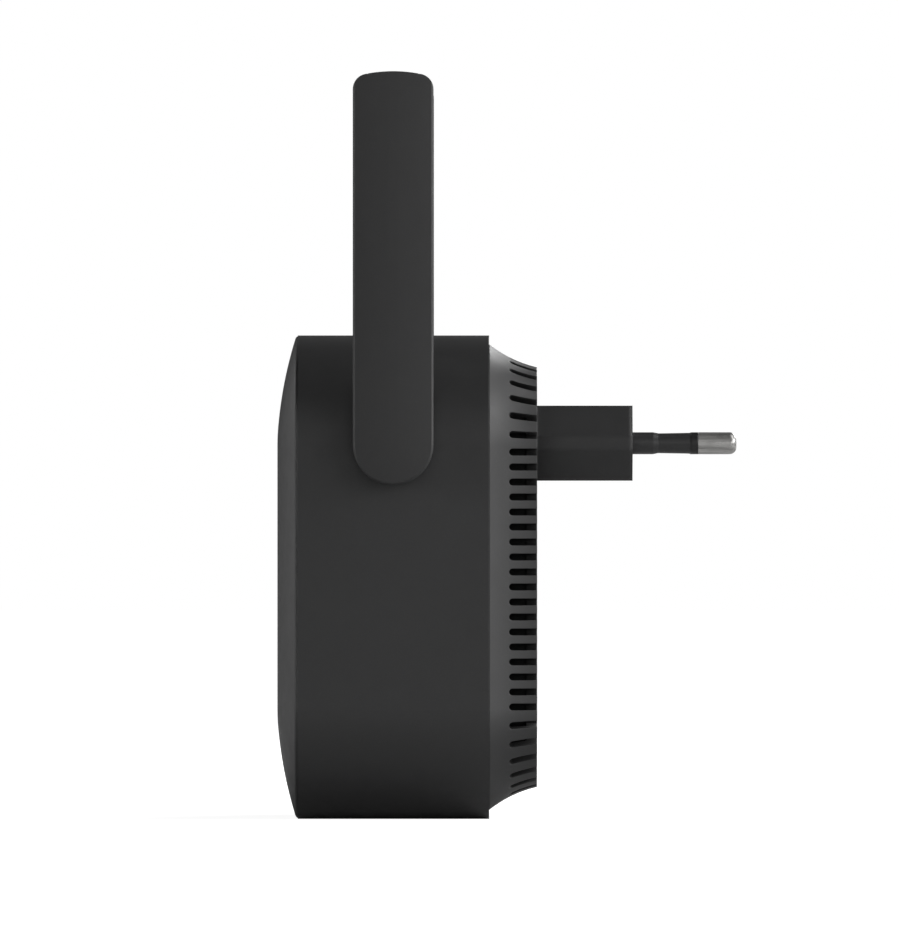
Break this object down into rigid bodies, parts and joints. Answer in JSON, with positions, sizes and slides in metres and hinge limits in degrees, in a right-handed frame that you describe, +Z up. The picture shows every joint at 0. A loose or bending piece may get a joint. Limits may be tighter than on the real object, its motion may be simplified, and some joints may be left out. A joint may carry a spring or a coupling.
{
  "type": "wifi range extender",
  "caption": "Plug-in wifi range extender: square body with a domed front, slotted flared back, flat pin plug and side antennas that fold from upright, through the front, to hanging.",
  "frame": {"origin": "middle of the plug's face, the flat end of the neck that meets the outlet, between the two pins", "axes": "+Y out of the plug's face into the outlet, so the domed front faces -Y; +Z up, along the raised antennas; +X to the right seen from the front"},
  "size_m": [0.105, 0.0837, 0.1356],
  "materials": {
    "front_plastic": "fine matt texture, satin at grazing angles",
    "band_plastic": "fine spark-eroded texture",
    "rear_plastic": "fine matt texture",
    "insert_plastic": "smooth matt",
    "antenna_plastic": "fine matt texture",
    "light_pipe_clear": "frosted clear moulding",
    "label_film": "satin film",
    "pin_metal": "nickel-plated brass",
    "sleeve_plastic": "smooth satin",
    "mains_wire": "wire insulation",
    "dc_wire": "wire insulation",
    "power_laminate": "paper laminate",
    "main_laminate": "solder mask over glass laminate",
    "aerial_laminate": "solder mask over glass laminate",
    "ferrite": "sintered ferrite",
    "bobbin_plastic": "moulded resin",
    "winding_tape": "polyester tape over copper wire",
    "bulk_sleeve": "shrink sleeve over aluminium",
    "output_sleeve": "shrink sleeve over aluminium",
    "resistor_paint": "flameproof paint",
    "chip_resin": "moulding compound",
    "disc_coating": "dipped epoxy",
    "sheet_film": "insulating sheet",
    "pad_silicone": "soft silicone",
    "can_metal": "tin-plated steel",
    "led_resin": "clear resin",
    "switch_plastic": "moulded resin",
    "plunger_plastic": "moulded resin",
    "connector_metal": "gold flash",
    "coax_jacket": "thin coaxial cable jacket",
    "screw_steel": "zinc plated",
    "spring_steel": "spring steel",
    "washer_plastic": "slippery plastic"
  },
  "bodies": {
    "housing": {"front_cover": "front_plastic", "light_pipe": "light_pipe_clear", "main_housing": "band_plastic", "rear_cover": "rear_plastic", "blank_label": "label_film", "plug_insert": "insert_plastic", "pin_left": "pin_metal", "pin_right": "pin_metal", "pin_sleeve_left": "sleeve_plastic", "pin_sleeve_right": "sleeve_plastic", "mains_lead_left": "mains_wire", "mains_lead_right": "mains_wire", "power_board": "power_laminate", "transformer_core": "ferrite", "transformer_bobbin": "bobbin_plastic", "transformer_winding": "winding_tape", "bulk_capacitor_upper": "bulk_sleeve", "bulk_capacitor_lower": "bulk_sleeve", "fuse_resistor": "resistor_paint", "emi_choke": "ferrite", "bridge_rectifier": "chip_resin", "power_controller": "chip_resin", "safety_capacitor": "disc_coating", "output_capacitor": "output_sleeve", "output_diode": "chip_resin", "dc_leads": "dc_wire", "insulation_sheet": "sheet_film", "main_board": "main_laminate", "wifi_chip": "chip_resin", "thermal_pad": "pad_silicone", "shield_can": "can_metal", "memory_chip": "chip_resin", "crystal": "can_metal", "buck_inductor": "ferrite", "status_led": "led_resin", "reset_switch": "switch_plastic", "rf_connector_left": "connector_metal", "rf_connector_right": "connector_metal", "pigtail_left": "coax_jacket", "pigtail_right": "coax_jacket", "main_board_screws": "screw_steel", "power_board_screws": "screw_steel"},
    "antenna_left": {"antenna_shell_left": "antenna_plastic", "antenna_cover_left": "antenna_plastic", "radiator_left": "aerial_laminate", "antenna_coax_left": "coax_jacket", "stop_clip_left": "spring_steel", "wave_washer_left": "spring_steel", "pivot_washer_left": "washer_plastic"},
    "antenna_right": {"antenna_shell_right": "antenna_plastic", "antenna_cover_right": "antenna_plastic", "radiator_right": "aerial_laminate", "antenna_coax_right": "coax_jacket", "stop_clip_right": "spring_steel", "wave_washer_right": "spring_steel", "pivot_washer_right": "washer_plastic"},
    "reset_button": {"reset_plunger": "plunger_plastic"}
  },
  "joints": [
    {"name": "antenna_left_fold", "type": "hinge", "parent": "housing", "child": "antenna_left", "pos_m": [-0.044, -0.0436, -0.0003], "axis": [1, 0, 0], "range_deg": [0, 180]},
    {"name": "antenna_right_fold", "type": "hinge", "parent": "housing", "child": "antenna_right", "pos_m": [0.044, -0.0436, -0.0003], "axis": [1, 0, 0], "range_deg": [0, 180]},
    {"name": "reset_press", "type": "slide", "parent": "housing", "child": "reset_button", "axis": [0, 0, 1], "range_m": [0, 0.0003], "stiffness_N_per_m": 5000}
  ]
}
